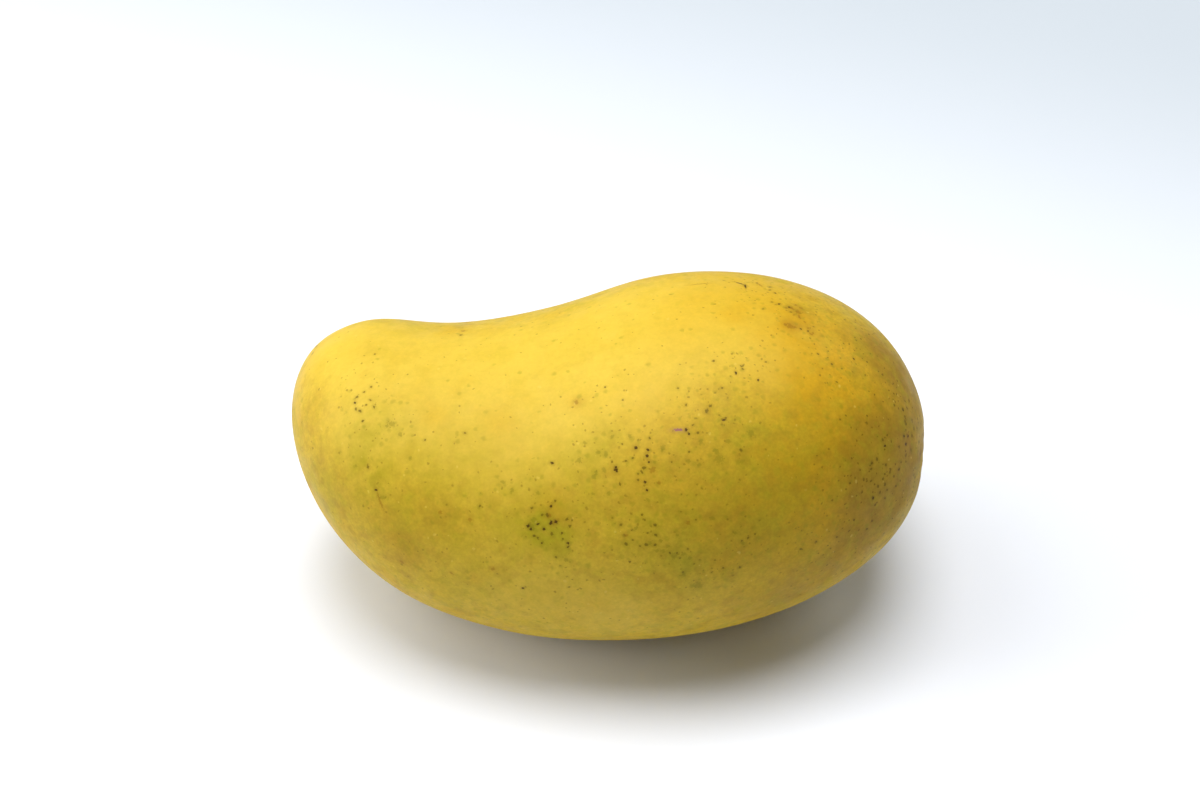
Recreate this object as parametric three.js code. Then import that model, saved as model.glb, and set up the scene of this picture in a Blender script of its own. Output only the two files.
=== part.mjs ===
// Mango: one ripe, kidney-shaped fruit that lies on its cheek.
// Millimetres, +Z up. +X runs along the fruit, from the tip to the stem end.
// The origin lies on the surface the fruit rests on, under the middle of its box.

import * as THREE from "three";

// The whole fruit
const fruitLength = 120;
const restingFlatDepth = 0.65; // how much of the round cheek the resting flat takes off

// Stations along the fruit: at is -1 at the tip and 1 at the stem end.
// halfBreadth sets how full the fruit is there, and bend how far its middle line is pushed sideways.
const stations = [
  { at: -1, halfBreadth: 42, bend: 6 },
  { at: -0.8, halfBreadth: 38.5, bend: 1.3 },
  { at: -0.5, halfBreadth: 34, bend: -4.2 },
  { at: -0.2, halfBreadth: 34.3, bend: -4.9 },
  { at: 0.15, halfBreadth: 37.5, bend: -1.7 },
  { at: 0.5, halfBreadth: 40.2, bend: 0.5 },
  { at: 0.8, halfBreadth: 42.7, bend: 1.2 },
  { at: 1, halfBreadth: 46, bend: 0.6 },
];
const stemHalfBreadth = stations.at(-1).halfBreadth;
const bendPlaneTilt = THREE.MathUtils.degToRad(40); // the kidney's curve leans back and up

// Cross-sections: flatter than they are broad, and a little fuller on the belly side
const depthShare = 0.86;
const tipDepthGain = 0.07;
const stemDepthGain = 0.03;
const bellyFullness = 0.06;

// The scar at the stem end: a low corky disc in a shallow pit
const scarOffset = -4.4; // the stalk grew a little to the belly side of the end's middle
const pitRadius = 9;
const pitDepth = 1.3;
const scarRadius = 3.2;
const scarHeight = 0.5;
const scarEdgeWidth = 0.8;

// The beak: a slight swelling on the back of the tip
const beak = { at: -0.73, angle: THREE.MathUtils.degToRad(52), radius: 9, height: 0.5 };

// Fineness of the surface
const sides = 48;
const bodyRings = 40;
const pitRingRadii = [9, 7.6, 6.2, 5, 4, 3.4, 3, 2.4, 1.2, 0];
const slideStart = 0.5; // how far along the fruit the rings start to slide over to the scar

const skinColour = 0xe0b446;
const skinRoughness = 0.55;

// A smooth curve through one property of the stations
function alongFruit(property) {
  const at = stations.map((station) => station.at);
  const values = stations.map((station) => station[property]);
  const curve = new THREE.CubicInterpolant(at, values, 1);
  return (position) => curve.evaluate(position)[0];
}

const halfBreadthAt = alongFruit("halfBreadth");
const bendAt = alongFruit("bend");

// Depth of a cross-section as a share of its breadth: both ends are a little rounder
function depthShareAt(along) {
  const gain = along < 0 ? tipDepthGain : stemDepthGain;
  return depthShare + gain * along * along;
}

// The skin before its small features: across and up are the offsets on a unit ball
function bodyPoint(along, across, up) {
  const halfBreadth = halfBreadthAt(along);
  const radial = Math.hypot(across, up);
  const belly = radial > 0 ? 1 - (bellyFullness * across) / radial : 1;
  const bend = bendAt(along);
  return new THREE.Vector3(
    (fruitLength / 2) * along,
    bend * Math.cos(bendPlaneTilt) + halfBreadth * across,
    bend * Math.sin(bendPlaneTilt) + halfBreadth * depthShareAt(along) * up * belly,
  );
}

// 1 at the centre and 0 from the given reach outwards
function fade(distance, inner, outer) {
  return 1 - THREE.MathUtils.smoothstep(distance, inner, outer);
}

// Slides the points of the unit ball's stem end, so that its pole is the middle of the scar
function slideToScar(ballPoint) {
  const share = THREE.MathUtils.smoothstep(ballPoint.x, slideStart, 1);
  ballPoint.y += (share * scarOffset) / stemHalfBreadth;
  return ballPoint.normalize();
}

const scarBallPoint = slideToScar(new THREE.Vector3(1, 0, 0));
const scarMiddle = bodyPoint(scarBallPoint.x, scarBallPoint.y, scarBallPoint.z);
const beakSide = Math.sqrt(1 - beak.at * beak.at);
const beakTop = bodyPoint(beak.at, beakSide * Math.cos(beak.angle), beakSide * Math.sin(beak.angle));

// How far the pit and the scar move the skin along X
function stemRelief(point) {
  if (point.x < 0) return 0;
  const distance = Math.hypot(point.y - scarMiddle.y, point.z - scarMiddle.z);
  const pit = pitDepth * fade(distance, 0, pitRadius);
  const scar = scarHeight * fade(distance, scarRadius - scarEdgeWidth, scarRadius);
  return scar - pit;
}

function skinPoint(along, across, up) {
  const point = bodyPoint(along, across, up);
  point.x += stemRelief(point);
  const swelling = beak.height * fade(point.distanceTo(beakTop), 0, beak.radius);
  return point.addScaledVector(new THREE.Vector3(0, across, up), swelling);
}

// Half of a unit circle from tip to stem end, with closer points where the pit is
function unitProfile() {
  const pitAngles = pitRingRadii.map((radius) => Math.PI - radius / stemHalfBreadth);
  const bodyAngles = [];
  for (let ring = 0; ring < bodyRings; ring++) {
    bodyAngles.push((pitAngles[0] * ring) / bodyRings);
  }
  return [...bodyAngles, ...pitAngles].map(
    (angle) => new THREE.Vector2(Math.sin(angle), -Math.cos(angle)),
  );
}

// Stands the skin over the origin, with its lowest stretch pressed flat on the surface
function restOnSurface(geometry) {
  geometry.computeBoundingBox();
  const box = geometry.boundingBox;
  const middle = box.getCenter(new THREE.Vector3());
  geometry.translate(-middle.x, -middle.y, -box.min.z - restingFlatDepth);
  const position = geometry.attributes.position;
  for (let i = 0; i < position.count; i++) {
    position.setZ(i, Math.max(position.getZ(i), 0));
  }
}

function makeMango() {
  const geometry = new THREE.LatheGeometry(unitProfile(), sides);
  geometry.rotateZ(-Math.PI / 2); // the profile's axis turns from +Y to +X
  const position = geometry.attributes.position;
  for (let i = 0; i < position.count; i++) {
    const ballPoint = slideToScar(new THREE.Vector3().fromBufferAttribute(position, i));
    const point = skinPoint(ballPoint.x, ballPoint.y, ballPoint.z);
    position.setXYZ(i, point.x, point.y, point.z);
  }
  restOnSurface(geometry);
  geometry.computeVertexNormals();

  const skin = new THREE.MeshStandardMaterial({
    color: skinColour,
    roughness: skinRoughness,
    metalness: 0,
  });
  const mesh = new THREE.Mesh(geometry, skin);
  mesh.name = "mango";
  return mesh;
}

const group = new THREE.Group();
group.add(makeMango());

export default group;
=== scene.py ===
import math
import random

import bmesh
import bpy
import numpy as np
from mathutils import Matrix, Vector, noise
from mathutils.bvhtree import BVHTree


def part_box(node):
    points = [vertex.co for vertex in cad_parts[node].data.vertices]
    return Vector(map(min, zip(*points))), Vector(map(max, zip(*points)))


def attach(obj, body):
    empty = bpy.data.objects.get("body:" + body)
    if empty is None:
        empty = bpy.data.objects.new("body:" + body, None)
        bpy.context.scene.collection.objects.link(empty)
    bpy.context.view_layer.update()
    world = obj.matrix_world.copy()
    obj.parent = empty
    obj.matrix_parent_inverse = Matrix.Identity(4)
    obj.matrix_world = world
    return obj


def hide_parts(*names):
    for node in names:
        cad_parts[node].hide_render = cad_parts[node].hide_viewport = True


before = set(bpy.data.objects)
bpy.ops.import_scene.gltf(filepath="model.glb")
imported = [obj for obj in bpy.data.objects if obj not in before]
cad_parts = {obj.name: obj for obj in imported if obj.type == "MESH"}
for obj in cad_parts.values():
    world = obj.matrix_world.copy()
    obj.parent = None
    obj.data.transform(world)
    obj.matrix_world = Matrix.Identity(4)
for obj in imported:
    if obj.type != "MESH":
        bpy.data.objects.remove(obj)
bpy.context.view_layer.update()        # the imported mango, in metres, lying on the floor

mm = 0.001               # the frame is in metres

# The camera stands where the photograph was taken from. Pixels below count in the 1200 x 800 picture.
view = {
    "pictureSize": (1200, 800),
    "lens": 50,                 # mm
    "sensorWidth": 36,          # mm
    "lookDown": 42,             # degrees
    "distance": 309.4,          # mm from the lens to the aim
    "aim": (-1.4, 0.0, 43.95),  # mm
    "nearest": 10,              # mm from the lens, nothing closer is drawn
}


def placeCamera():
    cameraData = bpy.data.cameras.new("photoCamera")
    cameraData.lens = view["lens"]
    cameraData.sensor_width = view["sensorWidth"]
    cameraData.clip_start = view["nearest"] * mm
    camera = bpy.data.objects.new("photoCamera", cameraData)
    bpy.context.scene.collection.objects.link(camera)
    down = math.radians(view["lookDown"])
    back = Vector((0, -math.cos(down), math.sin(down)))
    camera.location = (Vector(view["aim"]) + back * view["distance"]) * mm
    camera.rotation_euler = (math.pi / 2 - down, 0, 0)
    bpy.context.scene.camera = camera
    bpy.context.view_layer.update()
    return camera


camera = placeCamera()
print("camera placed")


# Where the line of sight through a pixel meets a surface: the place and the outward normal
def seenThrough(pixel, tree):
    width, height = view["pictureSize"]
    focal = width * view["lens"] / view["sensorWidth"]
    sight = Vector((pixel[0] - width / 2, height / 2 - pixel[1], -focal)).normalized()
    place, normal, face, distance = tree.ray_cast(camera.location, camera.matrix_world.to_3x3() @ sight)
    return place, normal


# The skin is a fine net of rings and sides, laid over the frame's solid
skinNet = {
    "rings": 370,               # from the stem end to the tip
    "sides": 256,
    "crowding": 1.25,           # above 1 the rings stand closer together at the stem end
    "scarSeat": (-2.8, 32.8),   # mm, Y and Z of the middle of the scar
    "guideLevels": 2,           # how often the solid's facets are divided and rounded
    "sameCorner": 0.001,        # mm, corners of the solid closer than this are joined
    "smoothingPasses": 14,
    "smoothingStep": 0.5,
    "leastLength": 1e-12,       # keeps a closed ring, which has no normal, from dividing by nothing
}


# The frame's solid with its facets rounded off, ready for rays
def roundedGuide():
    net = bmesh.new()
    net.from_mesh(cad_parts["mango"].data)
    bmesh.ops.remove_doubles(net, verts=net.verts, dist=skinNet["sameCorner"] * mm)
    guideMesh = bpy.data.meshes.new("roundedGuide")
    net.to_mesh(guideMesh)
    net.free()
    guide = bpy.data.objects.new("roundedGuide", guideMesh)
    bpy.context.scene.collection.objects.link(guide)
    rounding = guide.modifiers.new("rounding", "SUBSURF")
    rounding.levels = skinNet["guideLevels"]
    tree = BVHTree.FromObject(guide, bpy.context.evaluated_depsgraph_get())
    bpy.data.objects.remove(guide)
    return tree


# Points of the net as an array of rings x sides x 3, in metres
def layNet():
    tree = roundedGuide()
    low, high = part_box("mango")
    half = (high - low) / 2
    middle = Vector(((low.x + high.x) / 2, skinNet["scarSeat"][0] * mm, skinNet["scarSeat"][1] * mm))
    points = np.zeros((skinNet["rings"], skinNet["sides"], 3))
    for ring in range(skinNet["rings"]):
        share = (ring / (skinNet["rings"] - 1)) ** skinNet["crowding"]
        along = math.cos(math.pi * share)
        out = math.sin(math.pi * share)
        for side in range(skinNet["sides"]):
            turn = math.tau * side / skinNet["sides"]
            ray = Vector((half.x * along, half.y * out * math.cos(turn), half.z * out * math.sin(turn)))
            points[ring, side] = tree.ray_cast(middle, ray)[0]
    return points


def smoothNet(points):
    for step in range(skinNet["smoothingPasses"]):
        across = (np.roll(points, 1, axis=1) + np.roll(points, -1, axis=1)) / 2
        along = (points[:-2] + points[2:]) / 2
        points[1:-1] += skinNet["smoothingStep"] * ((across[1:-1] + along) / 2 - points[1:-1])
    return points


def netNormals(points):
    around = np.roll(points, -1, axis=1) - np.roll(points, 1, axis=1)
    along = np.gradient(points, axis=0)
    normals = np.cross(around, along)
    normals /= np.maximum(np.linalg.norm(normals, axis=2, keepdims=True), skinNet["leastLength"])
    normals *= np.sign((normals * (points - points.mean((0, 1)))).sum(2).mean())
    normals[0] = (1, 0, 0)      # the stem end and the tip, where the rings close to a point
    normals[-1] = (-1, 0, 0)
    return normals


# Smooth step from 0 at one value to 1 at another
def rise(value, start, end):
    share = np.clip((value - start) / (end - start), 0, 1)
    return share * share * (3 - 2 * share)


hillShift = (3.7, 1.3, 5.1)     # how far one step of the seed moves the hills, in wavelengths


# Gentle hills of one wavelength in mm, between about -1 and 1
def hills(points, wavelength, seed):
    shift = Vector([seed * step for step in hillShift])
    flat = points.reshape(-1, 3) / (wavelength * mm)
    heights = [noise.noise(Vector(place) + shift) for place in flat]
    return np.array(heights).reshape(points.shape[:-1])


skinRelief = {
    "broadHills": (26, 0.2, 1),         # wavelength and height in mm, seed
    "smallHills": (9, 0.045, 2),
    "flatFade": 1.5,                    # mm above the floor over which the hills set in
}

scarRelief = {
    "radius": 3.2,                      # mm
    "edge": (-0.5, 0.2),                # mm about that radius over which the cork ends
    "outline": (3.2, 0.14, 8),          # wavelength in mm, share by which the outline wanders, seed
    "cork": (0.9, 0.22, 4),             # wavelength and height in mm, seed
    "rimHeight": 0.22,                  # mm, of the raised corky rim
    "rimInset": 0.55,                   # mm from the scar's edge to the top of the rim
    "rimWidth": 0.4,
    "rimUneven": (1.5, 0.6, 9),         # wavelength in mm, share of its height, seed
    "coreRadius": 1.2,                  # mm, the stalk's torn core in the middle of the scar
    "coreDepth": 0.55,
    "creases": 15,                      # shallow creases that run into the pit
    "creaseHeight": 0.06,
    "creaseReach": (3.2, 5.0, 9.5),     # mm from the scar's middle: start, fullest, end
    "creaseWander": (5, 1.6, 3),        # wavelength in mm, radians, seed
    "elsewhere": 1000,                  # mm, the distance given to the other half of the fruit
}


# Distance in mm of every point from the scar's middle, stretched by chance so that the scar isn't a
# true circle, and the angle round it
def stemPolar(points):
    y = points[..., 1] / mm - skinNet["scarSeat"][0]
    z = points[..., 2] / mm - skinNet["scarSeat"][1]
    wavelength, ragged, seed = scarRelief["outline"]
    distance = np.hypot(y, z) * (1 + ragged * hills(points, wavelength, seed))
    distance[points[..., 0] < 0] = scarRelief["elsewhere"]
    return distance, np.arctan2(z, y)


# Height in mm of the creases round the pit
def creaseHeight(points, distance, angle):
    start, fullest, end = scarRelief["creaseReach"]
    band = rise(distance, start, fullest) * (1 - rise(distance, fullest, end))
    wavelength, wander, seed = scarRelief["creaseWander"]
    wave = np.sin(scarRelief["creases"] * angle + wander * hills(points, wavelength, seed))
    return scarRelief["creaseHeight"] * band * wave


# Height in mm of the scar: uneven cork, a raised rim and a sunken core
def scarHeight(points, distance):
    radius = scarRelief["radius"]
    inside, outside = scarRelief["edge"]
    wavelength, rough, seed = scarRelief["cork"]
    cork = (1 - rise(distance, radius + inside, radius + outside)) * hills(points, wavelength, seed)
    fromRim = (distance - radius + scarRelief["rimInset"]) / scarRelief["rimWidth"]
    wavelength, uneven, seed = scarRelief["rimUneven"]
    rim = np.exp(-fromRim ** 2) * (1 + uneven * hills(points, wavelength, seed))
    core = 1 - rise(distance, 0, scarRelief["coreRadius"])
    return rough * cork + scarRelief["rimHeight"] * rim - scarRelief["coreDepth"] * core


def raiseRelief(points):
    height = np.zeros(points.shape[:-1])
    for wavelength, tall, seed in (skinRelief["broadHills"], skinRelief["smallHills"]):
        height += tall * hills(points, wavelength, seed)
    height *= rise(points[..., 2] / mm, 0, skinRelief["flatFade"])
    distance, angle = stemPolar(points)
    height += creaseHeight(points, distance, angle) + scarHeight(points, distance)
    points = points + netNormals(points) * height[..., None] * mm
    points[..., 2] = np.maximum(points[..., 2], 0)
    return points


def netFaces():
    rings, sides = skinNet["rings"], skinNet["sides"]
    faces = []
    for ring in range(1, rings - 2):
        for side in range(sides):
            nextSide = (side + 1) % sides
            here, below = 1 + (ring - 1) * sides, 1 + ring * sides
            faces.append((here + side, below + side, below + nextSide, here + nextSide))
    tip = 1 + (rings - 2) * sides
    lastRing = tip - sides
    for side in range(sides):
        nextSide = (side + 1) % sides
        faces.append((0, 1 + side, 1 + nextSide))
        faces.append((tip, lastRing + nextSide, lastRing + side))
    return faces


def makeSkin():
    points = raiseRelief(smoothNet(layNet()))
    places = np.concatenate([points[0, :1], points[1:-1].reshape(-1, 3), points[-1, :1]])
    skinMesh = bpy.data.meshes.new("mangoSkin")
    skinMesh.from_pydata(places.tolist(), [], netFaces())
    skinMesh.polygons.foreach_set("use_smooth", [True] * len(skinMesh.polygons))
    skinMesh.update()
    skin = bpy.data.objects.new("mangoSkin", skinMesh)
    bpy.context.scene.collection.objects.link(skin)
    return skin, places


skin, skinPlaces = makeSkin()
skinTree = BVHTree.FromPolygons(skinPlaces.tolist(), [tuple(face.vertices) for face in skin.data.polygons])
print("skin laid over the frame:", len(skin.data.polygons), "faces")


# Four values for every point of the skin, read by the material under that name
def storeOnSkin(name, columns):
    layer = skin.data.color_attributes.new(name, "FLOAT_COLOR", "POINT")
    layer.data.foreach_set("color", np.stack(columns, axis=1).astype(np.float32).ravel())


# Soft patches of colour: pixel in the picture, radius in mm, strength
patches = {
    "olive": [
        ((403, 430), 4, 0.18), ((362, 420), 5, 0.35), ((368, 462), 6, 0.3), ((440, 480), 13, 0.2),
        ((530, 485), 10, 0.15), ((533, 526), 3, 0.6), ((550, 532), 3.5, 0.4), ((590, 460), 6, 0.25),
        ((368, 458), 2.5, 0.2), ((373, 472), 2.5, 0.2), ((376, 486), 2, 0.2), ((692, 558), 3, 0.35),
        ((565, 546), 3, 0.3), ((905, 425), 3.5, 0.4), ((884, 485), 4, 0.3), ((909, 450), 3, 0.3),
        ((328, 490), 8, 0.3), ((610, 440), 4, 0.2), ((660, 520), 8, 0.2), ((670, 550), 8, 0.3),
        ((700, 590), 6, 0.2), ((735, 445), 7, 0.3), ((755, 425), 4, 0.3), ((885, 465), 5, 0.4),
        ((440, 492), 8, 0.22), ((540, 532), 9, 0.22), ((460, 572), 9, 0.24), ((760, 492), 8, 0.3),
        ((800, 450), 6, 0.2), ((800, 530), 7, 0.2), ((757, 532), 6, 0.25), ((322, 488), 5, 0.2),
    ],
    "amber": [
        ((845, 375), 15, 0.85), ((785, 320), 8, 0.45), ((800, 450), 13, 0.5), ((760, 530), 13, 0.4),
        ((850, 480), 12, 0.5), ((840, 540), 10, 0.3), ((453, 330), 3, 0.5), ((425, 515), 8, 0.3),
        ((434, 414), 2.5, 0.35), ((500, 421), 3, 0.35), ((551, 511), 3.5, 0.5), ((575, 402), 2, 0.25),
        ((650, 475), 5, 0.3), ((690, 300), 6, 0.2), ((735, 315), 3, 0.3), ((812, 335), 4, 0.4),
        ((735, 290), 9, 0.28), ((790, 292), 9, 0.32), ((840, 412), 8, 0.22), ((880, 530), 7, 0.3),
        ((680, 330), 8, 0.25), ((722, 412), 6, 0.28), ((645, 410), 6, 0.22), ((680, 572), 6, 0.22),
        ((720, 610), 6, 0.25),
    ],
    # Tan is mostly painted shade: the stem end and the lower side, which turn away from the light, are
    # painted a darker ochre
    "tanAndShade": [
        ((908, 384), 7, 0.95), ((895, 455), 10, 0.85), ((875, 505), 9, 0.6), ((770, 492), 13, 0.45),
        ((845, 450), 10, 0.2), ((835, 565), 7, 0.5), ((760, 605), 8, 0.4), ((800, 590), 7, 0.4),
        ((725, 530), 8, 0.3), ((875, 345), 6, 0.55), ((820, 325), 7, 0.12), ((340, 490), 9, 0.3),
        ((405, 543), 3, 0.45), ((880, 452), 8, 0.45), ((880, 522), 8, 0.5), ((883, 365), 6, 0.4),
        ((310, 410), 4, 0.3), ((400, 530), 8, 0.3), ((480, 530), 8, 0.2), ((553, 520), 6, 0.4),
        ((480, 450), 10, 0.12), ((610, 500), 9, 0.3), ((680, 450), 6, 0.25), ((650, 490), 8, 0.15),
    ],
    # Lemon yellow is partly the skin's paler tone and partly painted light: painted sheen along the lit
    # top, painted floor light along the underside
    "lemonAndSheen": [
        ((340, 340), 10, 0.9), ((400, 360), 14, 0.8), ((480, 370), 16, 0.9), ((570, 360), 16, 0.9),
        ((640, 380), 14, 0.6), ((430, 425), 12, 0.45), ((520, 430), 12, 0.3), ((620, 300), 8, 0.5),
        ((725, 315), 13, 0.85), ((770, 345), 9, 0.55), ((780, 290), 7, 0.4), ((340, 420), 8, 0.3),
        ((500, 470), 10, 0.2), ((440, 565), 8, 0.25), ((520, 600), 9, 0.5), ((610, 612), 9, 0.55),
        ((690, 600), 7, 0.3), ((545, 492), 12, 0.22), ((550, 560), 12, 0.18), ((680, 286), 9, 0.5),
        ((740, 283), 8, 0.35), ((800, 392), 8, 0.3), ((800, 330), 6, 0.3), ((400, 406), 7, 0.45),
        ((358, 448), 6, 0.35),
    ],
    # Russet is brownish skin; the patches along the stem end's far edge are painted shade there
    "russet": [
        ((789, 325), 1.6, 0.5), ((797, 309), 2, 0.5), ((806, 325), 2.4, 0.3), ((372, 350), 3, 0.2),
        ((440, 510), 3.5, 0.3), ((402, 562), 3, 0.35), ((577, 402), 1.2, 0.3), ((905, 430), 5, 0.5),
        ((465, 325), 1.5, 0.5), ((870, 345), 4, 0.25), ((321, 461), 1.5, 0.5), ((907, 372), 5, 0.5),
        ((915, 452), 5, 0.45), ((884, 487), 5, 0.4), ((895, 462), 6, 0.3),
    ],
}

# On the sides that the camera doesn't see, patches and freckles fall by chance
hiddenPatches = {
    "count": 34,
    "colours": ["olive", "amber", "amber", "tanAndShade", "lemonAndSheen", "russet"],
    "radius": (4, 16),          # mm
    "russetSize": 0.35,         # times that radius
    "strength": (0.25, 0.7),
    "seed": 21,
}
hiddenSides = {
    "leaning": 0.05,            # a face that leans to the camera by more than this counts as seen
    "stemFrom": 45,             # mm along the fruit, beyond it fewer marks are put down
    "stemShare": 0.25,
}


def distanceFrom(place):
    return np.linalg.norm(skinPlaces - np.array(place), axis=1) / mm


def hiddenPlaces(count, seed):
    chance = random.Random(seed)
    sight = (camera.matrix_world.to_3x3() @ Vector((0, 0, 1))).normalized()
    found = []
    while len(found) < count:
        face = skin.data.polygons[chance.randrange(len(skin.data.polygons))]
        seen = face.normal.dot(sight) > hiddenSides["leaning"]
        share = hiddenSides["stemShare"] if face.center.x > hiddenSides["stemFrom"] * mm else 1
        if not seen and chance.random() < share:
            found.append((face.center.copy(), face.normal.copy()))
    return found


# Stores four colours' amounts and hands back the fifth's, russet
def paintPatches():
    chance = random.Random(hiddenPatches["seed"])
    amounts = {}
    for colour, spots in patches.items():
        amounts[colour] = np.zeros(len(skinPlaces))
        for pixel, radius, strength in spots:
            place, normal = seenThrough(pixel, skinTree)
            amounts[colour] += strength * np.exp(-(distanceFrom(place) / radius) ** 2)
    for place, normal in hiddenPlaces(hiddenPatches["count"], hiddenPatches["seed"]):
        colour = chance.choice(hiddenPatches["colours"])
        size = hiddenPatches["russetSize"] if colour == "russet" else 1
        radius = chance.uniform(*hiddenPatches["radius"]) * size
        strength = chance.uniform(*hiddenPatches["strength"])
        amounts[colour] += strength * np.exp(-(distanceFrom(place) / radius) ** 2)
    for colour in amounts:
        amounts[colour] = np.clip(amounts[colour], 0, 1)
    storeOnSkin("patches", [amounts[colour] for colour in ("olive", "amber", "tanAndShade", "lemonAndSheen")])
    return amounts["russet"]


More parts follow.
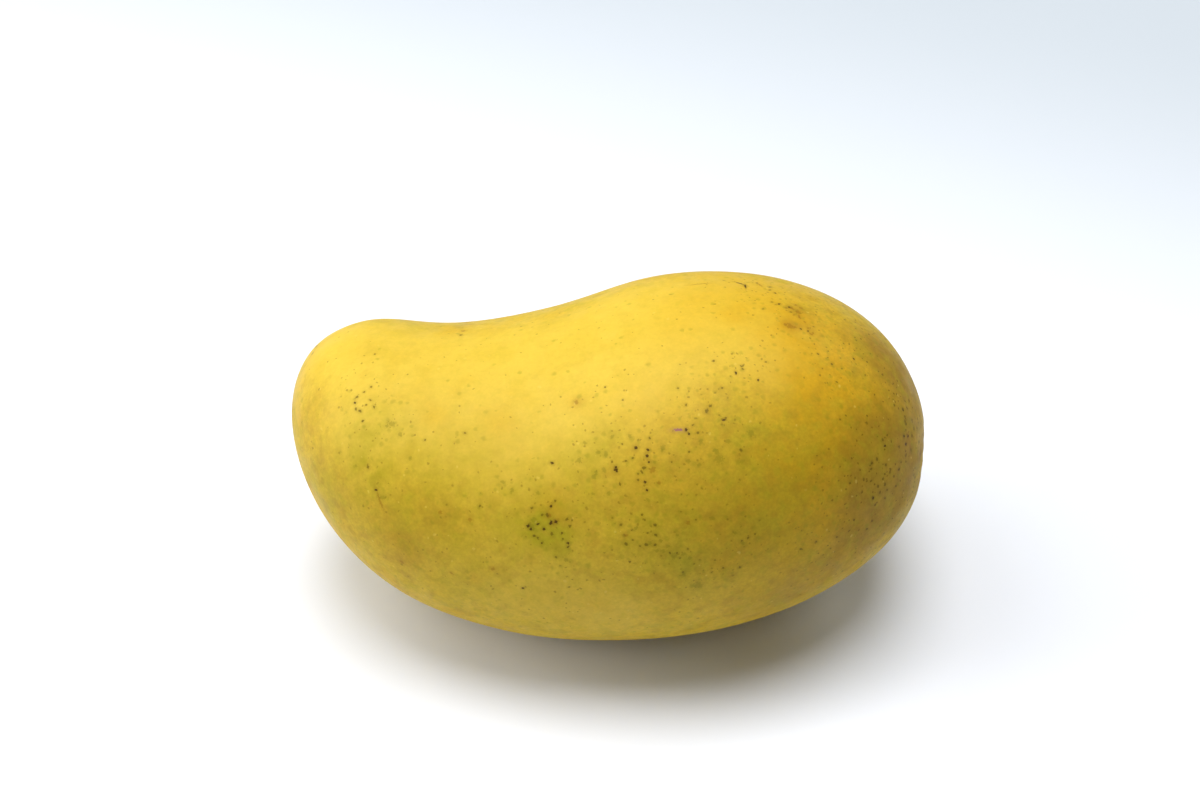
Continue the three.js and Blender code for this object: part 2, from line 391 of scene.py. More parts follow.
# Freckles seen in the picture: pixel, width in mm
freckles = {
    "dark": [
        ((528, 526), 0.74), ((531, 529), 0.57), ((538, 524), 0.49), ((551, 523), 0.74),
        ((556, 522), 0.82), ((551, 506), 0.57), ((544, 529), 0.57), ((562, 533), 0.41),
        ((568, 543), 0.57), ((568, 547), 0.49), ((542, 543), 0.49), ((616, 470), 0.82),
        ((616, 467), 0.49), ((636, 448), 0.74), ((648, 450), 0.57), ((647, 456), 0.74),
        ((649, 462), 0.41), ((645, 482), 0.57), ((647, 490), 0.49), ((686, 430), 0.66),
        ((689, 434), 0.41), ((724, 420), 0.49), ((745, 286), 0.66), ((757, 283), 0.41),
        ((775, 293), 0.49), ((779, 304), 0.57), ((789, 307), 0.66), ((801, 329), 0.41),
        ((808, 331), 0.41), ((736, 373), 0.49), ((355, 403), 0.49), ((552, 463), 0.57),
        ((605, 387), 0.41), ((376, 490), 0.49), ((523, 588), 0.49), ((758, 380), 0.41),
        ((854, 359), 0.41), ((867, 362), 0.33), ((906, 444), 0.65), ((908, 436), 0.6),
        ((885, 446), 0.55), ((904, 436), 0.6), ((899, 469), 0.6), ((873, 498), 0.55),
        ((903, 410), 0.45),
    ],
    "olive": [
        ((357, 397), 0.6), ((360, 411), 0.6), ((364, 392), 0.45), ((363, 421), 0.45), ((905, 401), 0.6),
        ((909, 401), 0.6), ((903, 409), 0.7), ((907, 408), 0.5), ((905, 417), 0.7), ((912, 420), 0.6),
        ((906, 424), 0.75), ((914, 428), 0.6), ((917, 428), 0.6), ((919, 442), 0.6), ((911, 450), 0.6),
        ((920, 454), 0.6), ((906, 455), 0.5), ((887, 435), 0.5), ((883, 440), 0.6), ((867, 423), 0.45),
        ((877, 459), 0.6), ((872, 463), 0.55), ((886, 465), 0.55), ((871, 469), 0.5), ((890, 471), 0.6),
        ((894, 476), 0.6), ((885, 474), 0.55), ((883, 479), 0.7), ((871, 481), 0.6), ((867, 481), 0.5),
        ((885, 484), 0.7), ((878, 486), 0.6), ((887, 490), 0.6), ((885, 498), 0.5), ((915, 477), 0.6),
        ((912, 499), 0.55), ((860, 470), 0.45), ((855, 478), 0.45), ((912, 436), 0.6),
        ((899, 446), 0.5), ((896, 486), 0.6), ((880, 492), 0.55), ((901, 462), 0.45), ((862, 492), 0.5),
        ((875, 505), 0.5), ((532, 508), 0.59), ((555, 501), 0.51), ((547, 515), 0.68),
        ((542, 515), 0.59), ((567, 519), 0.59), ((572, 520), 0.51), ((570, 526), 0.59),
        ((534, 536), 0.59), ((538, 538), 0.51), ((552, 534), 0.68), ((563, 539), 0.42),
        ((556, 557), 0.51), ((622, 444), 0.42), ((650, 438), 0.51), ((644, 468), 0.68),
        ((642, 472), 0.51), ((638, 480), 0.59), ((620, 484), 0.51), ((626, 461), 0.42),
        ((642, 515), 0.51), ((710, 406), 0.68), ((707, 411), 0.77), ((693, 425), 0.42),
        ((698, 433), 0.59), ((741, 450), 0.51), ((770, 287), 0.59), ((770, 290), 0.51),
        ((772, 302), 0.51), ((791, 312), 0.51), ((763, 309), 0.42), ((743, 366), 0.42),
        ((743, 369), 0.42), ((766, 362), 0.42), ((741, 366), 0.34), ((714, 361), 0.51),
        ((366, 405), 0.42), ((370, 400), 0.42), ((356, 409), 0.59), ((374, 407), 0.51),
        ((371, 387), 0.51), ((375, 354), 0.51), ((461, 335), 0.68), ((425, 440), 0.4),
        ((465, 433), 0.45), ((368, 467), 0.59), ((480, 506), 0.59), ((626, 544), 0.68),
        ((646, 545), 0.77), ((655, 545), 0.68), ((621, 525), 0.68), ((655, 525), 0.59),
        ((656, 535), 0.59), ((740, 567), 0.59), ((723, 568), 0.59), ((801, 549), 0.59),
        ((816, 542), 0.59), ((837, 537), 0.59), ((873, 498), 0.59), ((832, 364), 0.51),
        ((818, 354), 0.51), ((905, 421), 0.42), ((906, 430), 0.42), ((903, 409), 0.42),
        ((899, 469), 0.42), ((872, 463), 0.51), ((850, 483), 0.51), ((872, 521), 0.59),
        ((867, 529), 0.51), ((569, 587), 0.42), ((854, 520), 0.42), ((632, 530), 0.4),
        ((645, 520), 0.4), ((633, 540), 0.4), ((640, 546), 0.45), ((670, 553), 0.45), ((677, 553), 0.4),
        ((680, 558), 0.4), ((688, 549), 0.36), ((630, 562), 0.36), ((694, 564), 0.36),
        ((683, 572), 0.36), ((712, 572), 0.36), ((715, 560), 0.4), ((742, 541), 0.4),
        ((748, 538), 0.45), ((755, 534), 0.4), ((696, 520), 0.36), ((612, 550), 0.36),
        ((648, 533), 0.36), ((638, 474), 0.36), ((612, 462), 0.36), ((633, 458), 0.36),
        ((719, 415), 0.4), ((689, 452), 0.36), ((672, 462), 0.36), ((726, 418), 0.42),
        ((722, 388), 0.42), ((686, 405), 0.42), ((678, 388), 0.42), ((623, 400), 0.42),
    ],
    "green": [
        ((606, 454), 0.88), ((663, 448), 1.04), ((662, 451), 0.72), ((716, 451), 1.12),
        ((719, 460), 1.76), ((699, 465), 0.72), ((751, 433), 1.28), ((392, 424), 1.12),
        ((387, 426), 0.8), ((400, 434), 0.8), ((663, 551), 0.96), ((674, 556), 1.12),
        ((684, 554), 0.88), ((712, 518), 0.88), ((743, 543), 0.88), ((698, 585), 1.92),
        ((684, 574), 0.96), ((566, 560), 0.88), ((579, 460), 0.88), ((594, 477), 1.04),
        ((596, 473), 0.72), ((534, 520), 1.12), ((585, 443), 0.72), ((604, 470), 0.8),
        ((356, 466), 0.72), ((410, 458), 0.88), ((382, 497), 1.04), ((648, 500), 0.72),
        ((512, 490), 0.88), ((538, 493), 0.8), ((609, 493), 0.8), ((593, 494), 0.72),
        ((503, 482), 0.72), ((650, 543), 0.96), ((677, 535), 0.72), ((661, 541), 0.8),
        ((668, 546), 0.7), ((657, 551), 0.8), ((690, 558), 0.8), ((624, 536), 0.7), ((636, 528), 0.7),
        ((735, 533), 0.8), ((728, 441), 0.9), ((701, 442), 0.9), ((688, 461), 0.8), ((655, 462), 0.7),
        ((742, 462), 0.9), ((630, 436), 0.8), ((612, 437), 0.8), ((598, 452), 0.9),
    ],
    "brown": [
        ((791, 308), 1.1), ((798, 312), 1.3), ((801, 308), 0.8), ((796, 305), 0.6), ((790, 326), 1.6),
        ((785, 324), 0.8), ((795, 327), 0.6), ((800, 318), 0.6), ((805, 322), 0.5), ((808, 328), 0.5),
        ((813, 333), 0.5), ((794, 315), 0.5), ((786, 308), 0.45), ((576, 402), 0.9), ((659, 483), 0.81),
        ((653, 470), 1.08), ((463, 331), 0.9), ((811, 334), 0.63), ((402, 562), 0.9),
        ((470, 520), 0.81), ((440, 512), 0.81), ((493, 569), 0.81), ((799, 316), 0.72),
        ((688, 523), 0.9), ((549, 515), 0.9), ((626, 535), 0.81),
    ],
}

# Marks that are longer than they are wide: pixel at each end, width in mm
dashes = {
    "dark": [
        ((735, 282), (745, 285), 0.45), ((745, 284), (746, 289), 0.4),
    ],
    "brown": [
        ((449, 571), (454, 575), 0.5), ((376, 489), (385, 514), 0.6), ((550, 525), (560, 519), 0.7),
        # the last brown dash, along the stem end's outline, is painted shade where the edge turns away
        # from the light
        ((690, 285), (712, 283), 0.4), ((757, 283), (763, 287), 0.5), ((921, 440), (919, 465), 1.6),
    ],
    "green": [
        ((528, 522), (536, 531), 1.0),
    ],
    "pink": [
        ((673, 430), (684, 430), 0.6),
    ],
}

# Freckle inks: colour, and in the fourth place how much of the skin's colour they cover
freckleInks = [
    ("green", (0.17, 0.15, 0.004, 0.46)),
    ("olive", (0.115, 0.073, 0.001, 0.76)),
    ("brown", (0.25, 0.105, 0.003, 0.56)),
    ("dark", (0.058, 0.025, 0.001, 0.94)),
    ("pink", (0.28, 0.1, 0.13, 0.85)),
]

freckleRules = {
    "seed": 33,
    "lengthSeen": (1, 1.5),     # times its width
    "lengthHidden": (1, 1.6),
    "reach": 1.25,              # mm beyond its edge over which the skin knows a freckle
    "apart": 1.0,               # mm more between two freckles of one layer
    "far": 9.0,
    "crowdReach": 4.5,          # mm round a freckle in which pores crowd
    "crowdStrength": 0.26,
}
hiddenFreckles = {
    "clusters": 11,
    "perCluster": (6, 18),
    "scatter": 5.0,             # mm from the cluster's middle
    "singles": 90,
    "inks": ["dark", "olive", "olive", "green", "green", "brown"],
    "width": (0.4, 0.8),        # mm
    "greenWidth": 1.5,          # times that width
}


# The middle of an ink's step in the material's colour ramp
def toneOf(ink):
    names = [name for name, colour in freckleInks]
    return (names.index(ink) + 0.5) / len(names)


# One mark: where it is, which way it lies, its length and width in mm, and its tone
def markAt(place, normal, direction, length, width, ink):
    lengthways = (direction - normal * direction.dot(normal)).normalized()
    return {"place": place, "lengthways": lengthways, "sideways": normal.cross(lengthways),
            "length": length, "width": width, "tone": toneOf(ink)}


def anyDirection(chance):
    return Vector([chance.uniform(-1, 1) for axis in range(3)])


def seenMarks():
    chance = random.Random(freckleRules["seed"])
    marks = []
    for ink, spots in freckles.items():
        for pixel, width in spots:
            place, normal = seenThrough(pixel, skinTree)
            direction = anyDirection(chance)
            length = width * chance.uniform(*freckleRules["lengthSeen"])
            marks.append(markAt(place, normal, direction, length, width, ink))
    for ink, strokes in dashes.items():
        for start, end, width in strokes:
            startPlace, normal = seenThrough(start, skinTree)
            endPlace, endNormal = seenThrough(end, skinTree)
            span = endPlace - startPlace
            marks.append(markAt((startPlace + endPlace) / 2, normal, span, span.length / mm, width, ink))
    return marks


def hiddenMarks():
    seed = freckleRules["seed"]
    chance = random.Random(seed + 1)
    spots = []
    for place, normal in hiddenPlaces(hiddenFreckles["clusters"], seed):
        for freckle in range(chance.randint(*hiddenFreckles["perCluster"])):
            drift = Vector([chance.gauss(0, hiddenFreckles["scatter"] * mm) for axis in range(3)])
            spots.append(skinTree.find_nearest(place + drift)[:2])
    spots += hiddenPlaces(hiddenFreckles["singles"], seed + 2)
    marks = []
    for place, normal in spots:
        ink = chance.choice(hiddenFreckles["inks"])
        width = chance.uniform(*hiddenFreckles["width"])
        width *= hiddenFreckles["greenWidth"] if ink == "green" else 1
        direction = anyDirection(chance)
        length = width * chance.uniform(*freckleRules["lengthHidden"])
        marks.append(markAt(place, normal, direction, length, width, ink))
    return marks


# Marks share a layer only where they are far enough apart to be told from each other
def sortIntoLayers(marks):
    layers = []
    for mark in sorted(marks, key=lambda mark: -mark["length"]):
        for layer in layers:
            gaps = [(mark["place"] - other["place"]).length / mm
                    - (mark["length"] + other["length"]) / 2 for other in layer]
            if min(gaps) > 2 * freckleRules["reach"] + freckleRules["apart"]:
                layer.append(mark)
                break
        else:
            layers.append([mark])
    return layers


# Each point of the skin knows how far it is from its nearest mark, in half lengths and half widths
def storeFreckles(layers):
    for number, layer in enumerate(layers):
        lengthways = np.zeros(len(skinPlaces))
        sideways = np.zeros(len(skinPlaces))
        away = np.full(len(skinPlaces), freckleRules["far"])
        tone = np.zeros(len(skinPlaces))
        for mark in layer:
            offset = (skinPlaces - np.array(mark["place"])) / mm
            near = np.linalg.norm(offset, axis=1) < mark["length"] / 2 + freckleRules["reach"]
            lengthways[near] = (offset[near] @ np.array(mark["lengthways"])) / (mark["length"] / 2)
            sideways[near] = (offset[near] @ np.array(mark["sideways"])) / (mark["width"] / 2)
            away[near] = 0
            tone[near] = mark["tone"]
        storeOnSkin("freckles%d" % number, [lengthways, sideways, away, tone])


# How far each point lies from the scar's middle, counted in scar radii, where pores crowd round the
# freckles, and the russet patches
def storeStemEnd(russet, layers):
    distance, angle = stemPolar(skinPlaces)
    reach = distance / scarRelief["radius"]
    crowd = np.zeros(len(skinPlaces))
    for layer in layers:
        for mark in layer:
            nearness = distanceFrom(mark["place"]) / freckleRules["crowdReach"]
            crowd += freckleRules["crowdStrength"] * np.exp(-nearness ** 2)
    storeOnSkin("stemEnd", [reach, np.clip(crowd, 0, 1), russet, np.ones(len(skinPlaces))])


russetAmount = paintPatches()
freckleLayers = sortIntoLayers(seenMarks() + hiddenMarks())
storeFreckles(freckleLayers)
storeStemEnd(russetAmount, freckleLayers)
print("freckles painted in", len(freckleLayers), "layers")


# Short calls for the material's nodes: a value may be a number, a colour or another node's output
def addNode(tree, kind, **settings):
    made = tree.nodes.new("ShaderNode" + kind)
    for name, value in settings.items():
        setattr(made, name, value)
    return made


def feed(tree, socket, value):
    if isinstance(value, bpy.types.NodeSocket):
        tree.links.new(value, socket)
    else:
        socket.default_value = value


def calculate(tree, operation, first, second, clamp=False):
    made = addNode(tree, "Math", operation=operation, use_clamp=clamp)
    feed(tree, made.inputs[0], first)
    feed(tree, made.inputs[1], second)
    return made.outputs[0]


def spread(tree, value, low, high, newLow=0.0, newHigh=1.0):
    made = addNode(tree, "MapRange", interpolation_type="SMOOTHSTEP")
    for socket, number in zip(made.inputs[:5], (value, low, high, newLow, newHigh)):
        feed(tree, socket, number)
    return made.outputs[0]


def mixColours(tree, amount, under, over, blend="MIX"):
    made = addNode(tree, "Mix", data_type="RGBA", blend_type=blend)
    feed(tree, made.inputs["Factor"], amount)
    feed(tree, made.inputs[6], under)
    feed(tree, made.inputs[7], over)
    return made.outputs[2]


def grey(tree, value):
    made = addNode(tree, "CombineColor")
    for socket in made.inputs:
        feed(tree, socket, value)
    return made.outputs[0]


def stretched(tree, value, scale):
    made = addNode(tree, "VectorMath", operation="SCALE")
    feed(tree, made.inputs[0], value)
    made.inputs["Scale"].default_value = scale
    return made.outputs[0]


cloudShift = (1.0, 1.7, 0.6)    # how far one step of the seed moves the clouds


# Soft cloudy variation of one wavelength in mm, 0 to 1
def clouds(tree, place, wavelength, detail, seed):
    shifted = addNode(tree, "VectorMath", operation="ADD")
    feed(tree, shifted.inputs[0], place)
    shifted.inputs[1].default_value = [seed * step for step in cloudShift]
    made = addNode(tree, "TexNoise", noise_dimensions="3D")
    feed(tree, made.inputs["Vector"], shifted.outputs[0])
    made.inputs["Scale"].default_value = 1 / wavelength
    made.inputs["Detail"].default_value = detail
    return made.outputs["Fac"]


# The skin's clouds: wavelength in mm, detail and seed, the two levels between which they count, and
# what they give at those levels
skinClouds = {
    "warmth": (8, 4, 23, 0.42, 0.75, 0, 1),
    "ragged": (3.0, 5, 5, 0.3, 0.7, 0.35, 1.35),        # unevenness of the sharper patches
    "soft": (6.0, 3, 7, 0.3, 0.7, 0.75, 1.15),          # and of the softer ones
    "mottle": (1.3, 3, 31, 0.3, 0.7, 0.94, 1.05),
    "grain": (0.5, 2, 37, 0.25, 0.75, 0.93, 1.06),
    "stemMottle": (2.2, 5, 101, 0.3, 0.7, 0.92, 1.08),  # only where the skin nears the stem
    "freckleEdge": (0.35, 2, 47, 0.2, 0.8, -0.35, 0.35),
    "cork": (0.8, 4, 53, 0.3, 0.72, 0, 1),
    "roughness": (5, 3, 61, 0.3, 0.7, 0.46, 0.6),
}


def skinCloud(tree, place, name):
    wavelength, detail, seed, low, high, newLow, newHigh = skinClouds[name]
    return spread(tree, clouds(tree, place, wavelength, detail, seed), low, high, newLow, newHigh)


stemReach = (22, 54)    # mm along the fruit over which the stem end's pores and mottling set in

skinColours = {
    "ripeYellow": (0.565, 0.387, 0.024, 1),
    "warmYellow": (0.555, 0.35, 0.018, 1),
    # lemon yellow also carries painted sheen and painted floor light
    "lemonAndSheen": (0.66, 0.458, 0.05, 1),
    "amber": (0.585, 0.333, 0.008, 1),
    # tan also carries painted shade
    "tanAndShade": (0.34, 0.198, 0.012, 1),
    "olive": (0.37, 0.3, 0.012, 1),
    # russet also carries painted shade at the stem end's edge and in the pit round the scar
    "russet": (0.33, 0.175, 0.015, 1),
    "softPore": (0.22, 0.21, 0.006, 1),
    "finePore": (0.15, 0.09, 0.002, 1),
    "palePore": (0.72, 0.54, 0.09, 1),
    "corkLight": (0.24, 0.145, 0.06, 1),
    "corkDark": (0.06, 0.035, 0.018, 1),
}


# A stored attribute as red, green and blue, and its fourth value
def readSkin(tree, name):
    stored = addNode(tree, "Attribute", attribute_name=name)
    parts = addNode(tree, "SeparateColor")
    feed(tree, parts.inputs[0], stored.outputs["Color"])
    return (*parts.outputs[:3], stored.outputs["Alpha"])


# Smudges a few millimetres wide: colour, wavelength in mm, detail, seed and strength
smudges = {
    "marks": [("olive", 4.5, 5, 83, 0.28), ("olive", 1.9, 5, 89, 0.34), ("tanAndShade", 3.0, 5, 97, 0.3)],
    "edge": (0.51, 0.66),
    "onLemonAndSheen": 0.25,            # share of their strength where the lemon yellow with painted sheen lies
    "grainOnLemonAndSheen": 0.4,
}


# Ripe yellow with patches, smudges and grain, which are weaker where the lemon yellow with painted sheen
# lies
def groundColour(tree, place, russet, ragged, nearStem):
    olive, amber, tanAndShade, lemonAndSheen = readSkin(tree, "patches")
    warmth = skinCloud(tree, place, "warmth")
    colour = mixColours(tree, warmth, skinColours["ripeYellow"], skinColours["warmYellow"])
    soft = skinCloud(tree, place, "soft")
    for name, stored, unevenness in [("lemonAndSheen", lemonAndSheen, soft), ("amber", amber, soft), ("tanAndShade", tanAndShade, soft),
                                     ("olive", olive, ragged), ("russet", russet, ragged)]:
        amount = calculate(tree, "MULTIPLY", stored, unevenness, clamp=True)
        colour = mixColours(tree, amount, colour, skinColours[name])

    plain = calculate(tree, "SUBTRACT", 1.0, lemonAndSheen)
    for name, wavelength, detail, seed, strength in smudges["marks"]:
        smudge = spread(tree, clouds(tree, place, wavelength, detail, seed), *smudges["edge"])
        shown = spread(tree, plain, 0, 1, smudges["onLemonAndSheen"] * strength, strength)
        colour = mixColours(tree, calculate(tree, "MULTIPLY", smudge, shown), colour, skinColours[name])

    shade = calculate(tree, "MULTIPLY", skinCloud(tree, place, "mottle"), skinCloud(tree, place, "grain"))
    # the grain is fainter under the painted sheen of the lemon yellow
    shown = spread(tree, plain, 0, 1, smudges["grainOnLemonAndSheen"], 1)
    colour = mixColours(tree, shown, colour, grey(tree, shade), "MULTIPLY")
    mottle = grey(tree, skinCloud(tree, place, "stemMottle"))
    return mixColours(tree, nearStem, colour, mottle, "MULTIPLY")


# Pores: mm from one to the next, radius in mm, softness of the edge, the share of them that shows and
# how strongly. Of two numbers, the first is for plain skin and the second for where they crowd.
pores = {
    "soft": {"apart": 1.5, "radius": 0.42, "edge": 0.6, "share": (0.08, 0.85), "strength": 0.32},
    "fine": {"apart": 1.1, "radius": 0.21, "edge": 0.4, "share": (0.15, 0.95), "strength": (0.48, 0.8)},
    "pale": {"apart": 2.3, "radius": 0.26, "edge": 0.4, "share": 0.5, "strength": 0.35},
    "size": (0.5, 1.1),         # smallest and largest, times the radius
    "strayWave": 1.1,           # waves per mm of the shifts that break up their rows
    "strayBy": 0.7,             # mm
}


# Round dots scattered by chance, about one for each cell
def dots(tree, place, pore, share):
    made = addNode(tree, "TexVoronoi", voronoi_dimensions="3D", feature="F1")
    feed(tree, made.inputs["Vector"], place)
    made.inputs["Scale"].default_value = 1 / pore["apart"]
    parts = addNode(tree, "SeparateColor")
    feed(tree, parts.inputs[0], made.outputs["Color"])
    smallest, largest = pores["size"]
    size = calculate(tree, "MULTIPLY", parts.outputs[0], largest - smallest)
    reach = calculate(tree, "DIVIDE", made.outputs["Distance"], calculate(tree, "ADD", size, smallest))
    radius = pore["radius"] / pore["apart"]
    dot = spread(tree, reach, radius * (1 + pore["edge"]), radius * (1 - pore["edge"]))
    kept = calculate(tree, "LESS_THAN", parts.outputs[1], share)
    return calculate(tree, "MULTIPLY", dot, kept)


# The skin's places with a small shift by chance, so that dots don't stand in rows
def strayPlace(tree, place):
    shift = addNode(tree, "TexNoise", noise_dimensions="3D")
    feed(tree, shift.inputs["Vector"], place)
    shift.inputs["Scale"].default_value = pores["strayWave"]
    strayed = addNode(tree, "VectorMath", operation="ADD")
    feed(tree, strayed.inputs[0], place)
    feed(tree, strayed.inputs[1], stretched(tree, shift.outputs["Color"], pores["strayBy"]))
    return strayed.outputs[0]


# Lays the pores over the colour, and hands back the fine ones for the bump
def addPores(tree, place, colour, crowd, nearStem):
    crowding = calculate(tree, "ADD", crowd, nearStem)
    strayed = strayPlace(tree, place)
    soft, fine, pale = pores["soft"], pores["fine"], pores["pale"]
    softDots = dots(tree, strayed, soft, spread(tree, crowding, 0, 1, *soft["share"]))
    fineDots = dots(tree, strayed, fine, spread(tree, crowding, 0, 1, *fine["share"]))
    paleDots = dots(tree, strayed, pale, pale["share"])
    fineStrength = spread(tree, nearStem, 0, 1, *fine["strength"])
    for name, amount, strength in [("softPore", softDots, soft["strength"]),
                                   ("finePore", fineDots, fineStrength),
                                   ("palePore", paleDots, pale["strength"])]:
        colour = mixColours(tree, calculate(tree, "MULTIPLY", amount, strength), colour, skinColours[name])
    return colour, fineDots


# How a freckle fades, in half widths from its middle
freckleEdge = {
    "mark": (1.15, 0.45),
    "skirt": (2.6, 0.8),
    "skirtStrength": 0.2,
}


# One layer of freckles laid over the colour so far
def inkFreckles(tree, colour, number, wobble):
    stored = addNode(tree, "Attribute", attribute_name="freckles%d" % number)
    distance = addNode(tree, "VectorMath", operation="LENGTH")
    feed(tree, distance.inputs[0], stored.outputs["Vector"])
    ragged = calculate(tree, "ADD", distance.outputs["Value"], wobble)
    ink = addNode(tree, "ValToRGB")
    feed(tree, ink.inputs[0], stored.outputs["Alpha"])
    ramp = ink.color_ramp
    ramp.interpolation = "CONSTANT"
    while len(ramp.elements) < len(freckleInks):
        ramp.elements.new(1.0)
    for step, (name, value) in enumerate(freckleInks):
        ramp.elements[step].position = step / len(freckleInks)
        ramp.elements[step].color = value
    mark = spread(tree, ragged, *freckleEdge["mark"])
    skirt = spread(tree, ragged, *freckleEdge["skirt"])
    skirt = calculate(tree, "MULTIPLY", skirt, freckleEdge["skirtStrength"])
    amount = calculate(tree, "MULTIPLY", calculate(tree, "MAXIMUM", mark, skirt), ink.outputs["Alpha"])
    return mixColours(tree, amount, colour, ink.outputs["Color"]), amount


def addFreckles(tree, place, colour):
    wobble = skinCloud(tree, place, "freckleEdge")
    inked = 0.0
    for number in range(len(freckleLayers)):
        colour, amount = inkFreckles(tree, colour, number, wobble)
        inked = calculate(tree, "MAXIMUM", inked, amount)
    return colour, inked


# The scar's finish: distances in scar radii from its middle
scarFinish = {
    "edge": (1.03, 0.93),
    "core": (0.42, 0.22),
    "coreStrength": 0.8,
    "collarAndPitShade": (4.2, 1.0),           # brownish skin round the scar, also painted shade in its pit
    "collarAndPitShadeStrength": 0.75,
    "gapOutside": (1.25, 1.06),     # dark line where the skin meets the cork
    "gapInside": (0.82, 0.98),
    "gapStrength": 0.85,
    "extraRoughness": 0.3,
}


# Brownish collar that also paints the pit's shade, corky scar with a darker core, and the dark line
# between cork and skin
def addScar(tree, colour, reach, ragged, cork, onScar):
    corkColour = mixColours(tree, cork, skinColours["corkDark"], skinColours["corkLight"])
    core = spread(tree, reach, *scarFinish["core"])
    core = calculate(tree, "MULTIPLY", core, scarFinish["coreStrength"])
    corkColour = mixColours(tree, core, corkColour, skinColours["corkDark"])
    # painted shade in the pit round the scar, in russet
    collarAndPitShade = spread(tree, reach, *scarFinish["collarAndPitShade"], 0, scarFinish["collarAndPitShadeStrength"])
    collarAndPitShade = calculate(tree, "MULTIPLY", collarAndPitShade, ragged, clamp=True)
    colour = mixColours(tree, collarAndPitShade, colour, skinColours["russet"])
    colour = mixColours(tree, onScar, colour, corkColour)
    outside = spread(tree, reach, *scarFinish["gapOutside"])
    inside = spread(tree, reach, *scarFinish["gapInside"])
    gap = calculate(tree, "MULTIPLY", outside, inside)
    gap = calculate(tree, "MULTIPLY", gap, scarFinish["gapStrength"])
    return mixColours(tree, gap, colour, skinColours["corkDark"])


skinBody = {
    "gloss": 0.12,
    "flesh": 0.1,                       # share of the light that passes through the flesh
    "fleshRadius": (1.0, 0.45, 0.12),
    "fleshDepth": 3,                    # mm
    "bumpHeight": 0.012,                # mm
    "fineBumps": (0.8, 3, 71, 1.0),     # wavelength in mm, detail, seed and share of that height
    "broadBumps": (2.6, 2, 73, 1.6),
    "poreBumps": -0.6,
    "freckleBumps": -0.8,
    "corkBumps": 4.0,
}


# Bump of the skin's grain: pores and freckles lie a little lower, and the cork is rough
def grainBump(tree, place, fineDots, inked, corkOnScar):
    height = 0.0
    for wavelength, detail, seed, share in (skinBody["fineBumps"], skinBody["broadBumps"]):
        part = calculate(tree, "MULTIPLY", clouds(tree, place, wavelength, detail, seed), share)
        height = calculate(tree, "ADD", height, part)
    for source, share in [(fineDots, skinBody["poreBumps"]), (inked, skinBody["freckleBumps"]),
                          (corkOnScar, skinBody["corkBumps"])]:
        height = calculate(tree, "ADD", height, calculate(tree, "MULTIPLY", source, share))
    bump = addNode(tree, "Bump")
    bump.inputs["Distance"].default_value = skinBody["bumpHeight"] * mm
    feed(tree, bump.inputs["Height"], height)
    return bump.outputs[0]


def makeSkinMaterial():
    material = bpy.data.materials.new("mangoSkin")
    material.use_nodes = True
    tree = material.node_tree
    shader = tree.nodes["Principled BSDF"]
    place = stretched(tree, addNode(tree, "TexCoord").outputs["Object"], 1 / mm)
    reach, crowd, russet = readSkin(tree, "stemEnd")[:3]
    ragged = skinCloud(tree, place, "ragged")
    cork = skinCloud(tree, place, "cork")
    onScar = spread(tree, reach, *scarFinish["edge"])
    along = addNode(tree, "SeparateXYZ")
    feed(tree, along.inputs[0], place)
    nearStem = spread(tree, along.outputs["X"], *stemReach)

    colour = groundColour(tree, place, russet, ragged, nearStem)
    colour, fineDots = addPores(tree, place, colour, crowd, nearStem)
    colour, inked = addFreckles(tree, place, colour)
    colour = addScar(tree, colour, reach, ragged, cork, onScar)
    feed(tree, shader.inputs["Base Color"], colour)

    corkRoughness = calculate(tree, "MULTIPLY", onScar, scarFinish["extraRoughness"])
    roughness = calculate(tree, "ADD", skinCloud(tree, place, "roughness"), corkRoughness)
    feed(tree, shader.inputs["Roughness"], roughness)
    shader.inputs["Specular IOR Level"].default_value = skinBody["gloss"]
    shader.inputs["Subsurface Weight"].default_value = skinBody["flesh"]
    shader.inputs["Subsurface Radius"].default_value = skinBody["fleshRadius"]
    shader.inputs["Subsurface Scale"].default_value = skinBody["fleshDepth"] * mm
    corkOnScar = calculate(tree, "MULTIPLY", cork, onScar)
    feed(tree, shader.inputs["Normal"], grainBump(tree, place, fineDots, inked, corkOnScar))
    return material


skin.data.materials.append(makeSkinMaterial())
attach(skin, "root")
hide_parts("mango")
print("skin finished")


# Pale studio floor: bright and neutral near the fruit, its slight blue cooling the shadow under the fruit;
# behind it the colour is painted cooler and a little darker as painted fall-off of light
studio = {
    "floorSize": 6.0,           # m
    "floorColour": (0.82, 0.845, 0.9, 1),
    # painted fall-off of light: the floor painted darker and cooler away from the fruit
    "farShadeColour": (0.53, 0.58, 0.63, 1),
    "fallOff": (0.02, 0.27),    # m along the direction below
    "fallDirection": (0.35, 0.94, 0.0),
    "floorRoughness": 0.75,
    "worldColour": (0.93, 0.96, 1.0, 1),
    "worldStrength": 0.03,
}

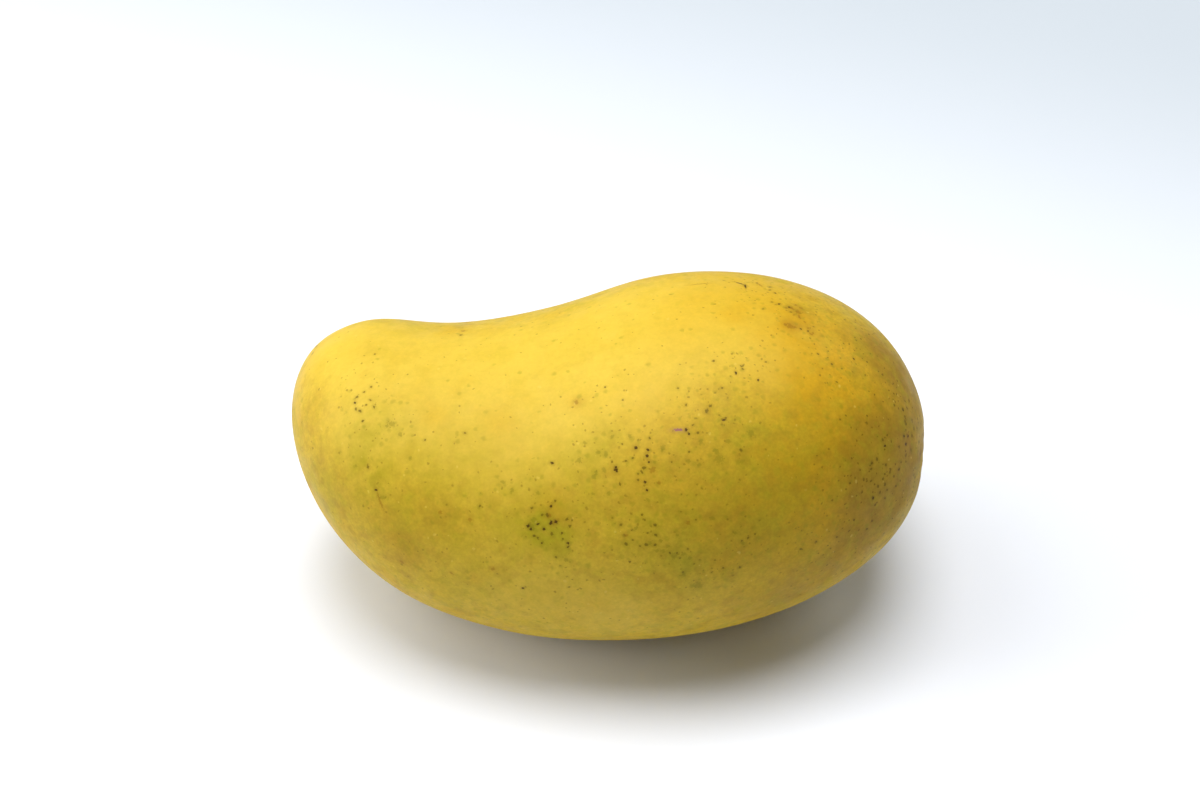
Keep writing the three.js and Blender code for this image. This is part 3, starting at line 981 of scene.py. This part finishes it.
# Soft round lamps: where they stand and how wide they are in metres, watts, and colour
lamps = {
    "overhead": {"place": (0.0, 0.1, 1.5), "width": 1.0, "power": 20.5, "colour": (1.0, 1.0, 1.0)},
    "highLeft": {"place": (-0.9, 0.2, 1.2), "width": 0.9, "power": 8.0, "colour": (1.0, 1.0, 0.99)},
    "left": {"place": (-1.4, 0.0, 0.6), "width": 0.8, "power": 11.6, "colour": (1.0, 0.99, 0.97)},
    "front": {"place": (0.0, -1.1, 1.2), "width": 0.8, "power": 2.5, "colour": (1.0, 0.98, 0.95)},
    "behind": {"place": (0.9, 0.9, 0.9), "width": 0.8, "power": 4.4, "colour": (0.92, 0.97, 1.0)},
}


def makeFloor():
    half = studio["floorSize"] / 2
    corners = [(-half, -half, 0), (half, -half, 0), (half, half, 0), (-half, half, 0)]
    floorMesh = bpy.data.meshes.new("studioFloor")
    floorMesh.from_pydata(corners, [], [(0, 1, 2, 3)])
    floor = bpy.data.objects.new("studioFloor", floorMesh)
    bpy.context.scene.collection.objects.link(floor)
    material = bpy.data.materials.new("studioFloor")
    material.use_nodes = True
    tree = material.node_tree
    shader = tree.nodes["Principled BSDF"]
    place = addNode(tree, "TexCoord")
    distance = addNode(tree, "VectorMath", operation="DOT_PRODUCT")
    feed(tree, distance.inputs[0], place.outputs["Object"])
    distance.inputs[1].default_value = studio["fallDirection"]
    # painted fall-off of light with distance behind the fruit
    far = spread(tree, distance.outputs["Value"], *studio["fallOff"])
    colour = mixColours(tree, far, studio["floorColour"], studio["farShadeColour"])
    feed(tree, shader.inputs["Base Color"], colour)
    shader.inputs["Roughness"].default_value = studio["floorRoughness"]
    floorMesh.materials.append(material)


def makeLight():
    world = bpy.data.worlds.new("studioLight")
    bpy.context.scene.world = world
    world.use_nodes = True
    background = world.node_tree.nodes["Background"]
    background.inputs["Color"].default_value = studio["worldColour"]
    background.inputs["Strength"].default_value = studio["worldStrength"]
    for name, lamp in lamps.items():
        lampData = bpy.data.lights.new(name, "AREA")
        lampData.shape = "DISK"
        lampData.size = lamp["width"]
        lampData.energy = lamp["power"]
        lampData.color = lamp["colour"]
        lampObject = bpy.data.objects.new(name, lampData)
        bpy.context.scene.collection.objects.link(lampObject)
        lampObject.location = lamp["place"]
        lampObject.rotation_euler = (-Vector(lamp["place"])).to_track_quat("-Z", "Y").to_euler()
    bpy.context.scene.view_settings.view_transform = "Standard"


makeFloor()
makeLight()
print("floor and lamps set")
